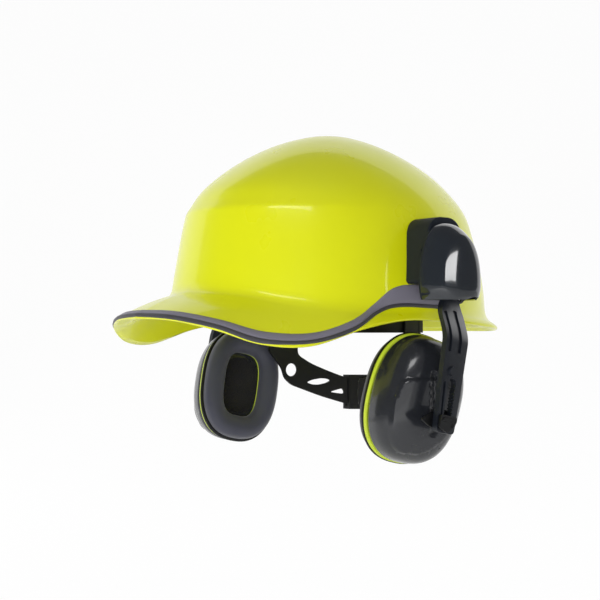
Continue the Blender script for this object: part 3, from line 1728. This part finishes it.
PADS = (
    Pad("sweat_pad_body", "sweat_pad", "helmet", -90, 65.0, -36.0, -10.0),
    Pad("nape_pad_body", "nape_pad", "nape_carriage", 90, 44.0, -104.5, -77.5),
)


class StrapFaces:
    """Where the two faces of a nape strap are, on an oval round the head."""

    def __init__(self, shape: HarnessShape) -> None:
        """Keeps the sizes."""
        self.shape = shape

    def at(self, y: float, z: float, gap: float) -> Vector:
        """A point this far outside the headband's oval.

        Args:
            y: Along the head.
            z: Up.
            gap: Distance outside the oval.

        Returns:
            The point.
        """
        s = self.shape
        reach = min(abs((y - s.centre) / (s.half_long + gap)), 0.999)
        return Vector(((s.half_wide + gap) * math.sqrt(1 - reach * reach), y, z))

    def outer(self, y: float, z: float, height: float) -> Vector:
        """A point on the outer face."""
        return self.at(y, z, self.shape.strap_gap + self.shape.strap + height)

    def inner(self, y: float, z: float) -> Vector:
        """A point on the inner face."""
        return self.at(y, z, self.shape.strap_gap)


class Harness:
    """The nape straps and the soft pads of the head harness."""

    def __init__(self, shape: HarnessShape, paint: Paintbox) -> None:
        """Keeps the sizes."""
        self.shape = shape
        self.paint = paint

    def build_nape_strap(self, side: Side) -> None:
        """Builds a flexible strap that stretches as the nape piece moves.

        Args:
            side: The wearer's side.
        """
        s = self.shape
        outline = rounded([*s.strap_upper, *s.strap_lower], 4.0)
        holes = [circle(s.hole, s.hole_radius), rounded(s.slot, 2.0, 3), rounded(s.notch, 2.5, 3)]
        field = Relief(tuple(shrunk(outline, s.rim)), -s.sunk, 0.4)
        strap = plate("nape_strap_body", outline, holes, [field], 3.0, StrapFaces(s))
        strap.name = f"nape_strap_body_{side.suffix}"
        mirrored(strap, side)
        self.paint.paint(strap, BLACK)
        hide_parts(f"nape_strap_{side.suffix}")
        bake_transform(strap)
        bevel(strap, 0.35)

    def build_pad(self, pad: Pad) -> None:
        """Builds a soft pad inside the band, pulled in at its edges and ends.

        Args:
            pad: The pad.
        """
        s = self.shape
        rings: list[Ring] = []
        for i in range(pad.steps + 1):
            turn = math.radians(pad.middle - pad.half_turn + 2 * pad.half_turn * i / pad.steps)
            along = min(i, pad.steps - i) / pad.steps
            full = pad.end + (1 - pad.end) * smoothstep(along * 14)
            half_high = (pad.high - pad.low) / 2 * (pad.end_high + (1 - pad.end_high) * full)
            ring: Ring = []
            for k in range(pad.points):
                a = 2 * math.pi * k / pad.points
                up = math.copysign(abs(math.sin(a)) ** 0.55, math.sin(a))
                out = math.copysign(abs(math.cos(a)) ** 0.7, math.cos(a))
                # The channel stitched along its middle keeps the pad thinner there.
                thin = pad.channel * math.exp(-((up / pad.channel_wide) ** 2)) if out < 0 else 0.0
                deep = s.band + s.pad / 2 - 0.48 * s.pad * full * (1 - thin) * out
                x = (s.half_wide - deep) * math.cos(turn)
                y = s.centre + (s.half_long - deep) * math.sin(turn)
                ring.append(Vector((x, y, (pad.low + pad.high) / 2 + half_high * up)))
            rings.append(ring)
        body = loft(pad.name, rings)
        subdivide(body)
        self.paint.paint(body, CLOTH)
        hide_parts(pad.node)
        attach(body, pad.body)

    def build(self) -> None:
        """Builds the straps and pads."""
        for side in Side:
            self.build_nape_strap(side)
        for pad in PADS:
            self.build_pad(pad)


# ------------------------------------------------------------------ studio
WHITE = (1.0, 1.0, 1.0, 1.0)
CUPS = ("cup_shell",)
# How far the camera sees the paper as evenly lit.
PAPER_DIRECT = 0.96


@dataclass(frozen=True)
class Softbox:
    """A rectangular lamp.

    Attributes:
        name: Lamp name.
        at: Its place in metres.
        size: Width and height in metres.
        level: Brightness of its face, where 1 is white.
        towards: The point that it faces.
        mirrored: Whether glossy surfaces mirror it.
        only: Starts of the names of the pieces that it makes a highlight on; empty if it lights them all.
    """

    name: str
    at: Point
    size: tuple[float, float]
    level: float
    towards: Point = (0.0, 0.0, 0.0)
    mirrored: bool = True
    only: tuple[str, ...] = ()


def aim(obj: bpy.types.Object, at: Point, towards: Point) -> None:
    """Puts a lamp or a camera in its place and turns it.

    Args:
        obj: The lamp or camera.
        at: Its place in metres.
        towards: The point that it faces.
    """
    obj.location = at
    obj.rotation_euler = (Vector(towards) - Vector(at)).to_track_quat("-Z", "Y").to_euler()


@dataclass(frozen=True)
class Studio:
    """Camera, floor and lights.

    Attributes:
        camera_at: Camera position in metres.
        look_at: Point it looks at, in metres.
        lens_mm: Focal length on a 36 mm sensor.
        floor_z: Height of the floor in metres.
        floor_half: Half width of the floor.
        floor_near: Where the floor starts, from under the object towards the backdrop.
        floor_flat: Where its flat part ends.
        sweep: Radius of its curve up into the backdrop.
        wall: Height of the backdrop.
        floor_mirrored: How far mirroring and clear surfaces see the floor as evenly lit.
        wall_mirrored: The same for the backdrop.
        surround: Brightness of the room, where 1 is white.
        boxes: The lamps.
    """

    camera_at: Point = (0.7808, -0.6383, -0.035)
    look_at: Point = (-0.0158, -0.0204, -0.0098)
    lens_mm: float = 72.44
    floor_z: float = -0.36
    floor_half: float = 7.0
    floor_near: float = -2.5
    floor_flat: float = 1.3
    sweep: float = 0.9
    wall: float = 4.0
    floor_mirrored: float = 0.3
    wall_mirrored: float = 0.95
    surround: float = 0.14
    boxes: tuple[Softbox, ...] = (
        Softbox("low_fill", (0.85, -1.25, 0.0), (1.6, 0.6), 5.1, mirrored=False),
        Softbox("overhead", (0.2, -0.1, 1.6), (1.2, 1.2), 0.4, mirrored=False),
        Softbox("left_panel", (-1.5, -0.45, 0.45), (1.5, 1.5), 2.0, mirrored=False),
        Softbox("rear_panel", (-0.9, 1.2, 1.25), (1.8, 0.9), 1.7, mirrored=False),
        Softbox("right_panel", (0.25, 1.55, 0.45), (1.2, 1.4), 2.0, mirrored=False),
        Softbox("cover_strip", (1.356, -0.19, 0.291), (1.7, 0.46), 8.0, only=("cover",)),
        Softbox("cup_window", (1.167, -0.471, 0.614), (0.42, 0.36), 6.0, (0.13, -0.03, -0.07), only=CUPS),
        Softbox("cup_front", (1.3, -0.42, -0.25), (1.2, 0.6), 0.8, (0.13, -0.03, -0.09), only=CUPS),
        Softbox("arm_panel", (0.55, 1.15, 0.6), (0.8, 0.9), 2.2, (0.15, 0.0, -0.05), only=("arm_",)),
        Softbox("shoulder_streak", (0.731, -0.784, 0.9), (0.8, 0.15), 5.0, only=("shell_body",)),
    )

    def hang(self, box: Softbox) -> None:
        """Adds a softbox.

        Args:
            box: The softbox.
        """
        data = bpy.data.lights.new(box.name, "AREA")
        data.shape = "RECTANGLE"
        data.size, data.size_y = box.size
        # An area lamp of this power has a face of the stated brightness.
        data.energy = box.level * math.pi * box.size[0] * box.size[1]
        lamp = bpy.data.objects.new(box.name, data)
        aim(lamp, box.at, box.towards)
        lamp.visible_glossy = box.mirrored
        lamp.visible_camera = False
        if box.only:
            # A highlight lamp adds no general light.
            lamp.visible_diffuse = False
            group = bpy.data.collections.new(f"{box.name}_on")
            for obj in bpy.data.objects:
                if obj.name.startswith(box.only):
                    group.objects.link(obj)
            lamp.light_linking.receiver_collection = group
        bpy.context.scene.collection.objects.link(lamp)

    def backdrop(self) -> None:
        """Lays the pale floor that curves up into the backdrop."""
        back = Vector(self.look_at) - Vector(self.camera_at)
        back.z = 0
        back.normalize()
        wide = Vector((-back.y, back.x, 0))
        turns = (0.3, 0.6, 0.9, 1.2, math.pi / 2)
        flat = [(self.floor_near, 0.0), (0.5, 0.0), (self.floor_flat, 0.0)]
        curve = [(self.floor_flat + self.sweep * math.sin(a), self.sweep * (1 - math.cos(a))) for a in turns]
        profile = [*flat, *curve, (self.floor_flat + self.sweep, self.wall)]
        verts = []
        for along, up in profile:
            for edge in (-self.floor_half, self.floor_half):
                p = back * along + wide * edge
                verts.append(Vector((p.x, p.y, self.floor_z + up)) / MM)
        faces = [(2 * i, 2 * i + 1, 2 * i + 3, 2 * i + 2) for i in range(len(profile) - 1)]
        floor = make_object("floor", verts, faces)
        # A mirroring surface sees the backdrop at full white and the floor dimmer, as the object shades it.
        floor.data.materials.append(self.paper("floor", self.floor_mirrored))
        floor.data.materials.append(self.paper("backdrop", self.wall_mirrored))
        for polygon in floor.data.polygons:
            polygon.material_index = int(polygon.index >= len(flat) - 1)

    def paper(self, name: str, mirrored: float) -> bpy.types.Material:
        """Makes white paper that the camera sees evenly lit, with the object's shadow left in it.

        Args:
            name: Material name.
            mirrored: How far mirroring and clear surfaces see it as evenly lit.

        Returns:
            The material.
        """
        material = bpy.data.materials.new(name)
        material.use_nodes = True
        tree = material.node_tree
        tree.nodes.clear()
        noise = add_node(tree, "ShaderNodeTexNoise", {"Scale": 6.0, "Detail": 2.0}, {})
        tones = {"data_type": "RGBA", 6: linear("#FDFDFD"), 7: linear("#FAFAFA")}
        mix = add_node(tree, "ShaderNodeMix", tones, {0: noise.outputs["Fac"]})
        paper = add_node(tree, "ShaderNodeBsdfDiffuse", {}, {"Color": mix.outputs[2]})
        white = add_node(tree, "ShaderNodeEmission", {"Color": WHITE, "Strength": 1.0}, {})
        path = add_node(tree, "ShaderNodeLightPath", {}, {}).outputs

        def combine(operation: str, first: bpy.types.NodeSocket, second: object) -> bpy.types.NodeSocket:
            """Adds a node that puts two values together.

            Args:
                operation: Its name, such as "MULTIPLY".
                first: The first value.
                second: The second value, a socket or a number.

            Returns:
                The socket with the result.
            """
            settings, links = {"operation": operation}, {0: first}
            (settings if isinstance(second, float) else links)[1] = second
            return add_node(tree, "ShaderNodeMath", settings, links).outputs[0]

        mirrored_in = combine("MAXIMUM", path["Is Glossy Ray"], path["Is Transmission Ray"])
        dimmed = combine("MULTIPLY", mirrored_in, mirrored)
        direct = combine("MULTIPLY", path["Is Camera Ray"], PAPER_DIRECT)
        share = combine("MAXIMUM", direct, dimmed)
        sides = {0: share, 1: paper.outputs[0], 2: white.outputs[0]}
        seen = add_node(tree, "ShaderNodeMixShader", {}, sides)
        add_node(tree, "ShaderNodeOutputMaterial", {}, {"Surface": seen.outputs[0]})
        return material

    def light(self) -> None:
        """Places the softboxes and the even surround."""
        world = bpy.data.worlds.new("surround")
        bpy.context.scene.world = world
        world.use_nodes = True
        tree = world.node_tree
        tree.nodes.clear()
        direct = add_node(tree, "ShaderNodeLightPath", {}, {}).outputs["Is Camera Ray"]
        soft = add_node(tree, "ShaderNodeBackground", {"Color": WHITE, "Strength": self.surround}, {})
        white = add_node(tree, "ShaderNodeBackground", {"Color": WHITE, "Strength": 1.0}, {})
        mix = add_node(tree, "ShaderNodeMixShader", {}, {0: direct, 1: soft.outputs[0], 2: white.outputs[0]})
        add_node(tree, "ShaderNodeOutputWorld", {}, {"Surface": mix.outputs[0]})
        for box in self.boxes:
            self.hang(box)

    def camera(self) -> None:
        """Places the camera."""
        data = bpy.data.cameras.new("camera")
        data.lens = self.lens_mm
        data.sensor_width = 36.0
        data.clip_start = 0.01
        camera = bpy.data.objects.new("camera", data)
        aim(camera, self.camera_at, self.look_at)
        bpy.context.scene.collection.objects.link(camera)
        bpy.context.scene.camera = camera
        bpy.context.scene.view_settings.view_transform = "Standard"

    def build(self) -> None:
        """Builds the whole studio."""
        self.backdrop()
        self.light()
        self.camera()


# Finish of each CAD node; those that a piece here stands for keep theirs in the other views of the part.
CAD_FINISHES: dict[str, Finish] = {
    "shell": SHELL, "edge_trim": TRIM, "headband": BLACK, "sweat_pad": CLOTH, "cradle_strap_across": WEBBING,
    "cradle_strap_lengthwise": WEBBING, "crown_pad": BLACK, "strap_key": BLACK, "nape_strap": BLACK,
    "nape_housing": BLACK, "nape_pad": CLOTH, "nape_knob": BLACK, "nape_pinion": BLACK, "bracket": SATIN,
    "housing_plate": SATIN, "housing_cover": GLOSS, "swivel_block": BLACK, "hinge_pin": STEEL,
    "arm_spring": STEEL, "arm": GRAPHITE, "slider": BLACK, "slider_clip": BLACK, "cup": CUP, "ring": RING,
    "cushion_plate": BLACK, "cushion": CUSHION, "foam": FOAM,
}


def base_name(node: str) -> str:
    """Takes the side off a CAD node's name.

    Args:
        node: Such as "cup_left".

    Returns:
        Such as "cup".
    """
    for ending in ("_left", "_right", "_front", "_rear"):
        if node.endswith(ending):
            return node[: -len(ending)]
    return node


def main() -> None:
    """Builds the dressed part, the studio and the record of its size."""
    logging.basicConfig(level=logging.INFO, format="%(name)s: %(message)s")
    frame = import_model()
    paint = Paintbox()
    for name, obj in frame["nodes"].items():
        paint.paint(obj, CAD_FINISHES[base_name(name)])
    shell = HelmetShell(ShellShape(), paint)
    shell.build()
    SoftTrim(TrimShape(), shell, paint).build()
    for side in Side:
        EarDefender(side, paint).build()
    Harness(HarnessShape(), paint).build()
    Studio().build()


if __name__ == "__main__":
    main()
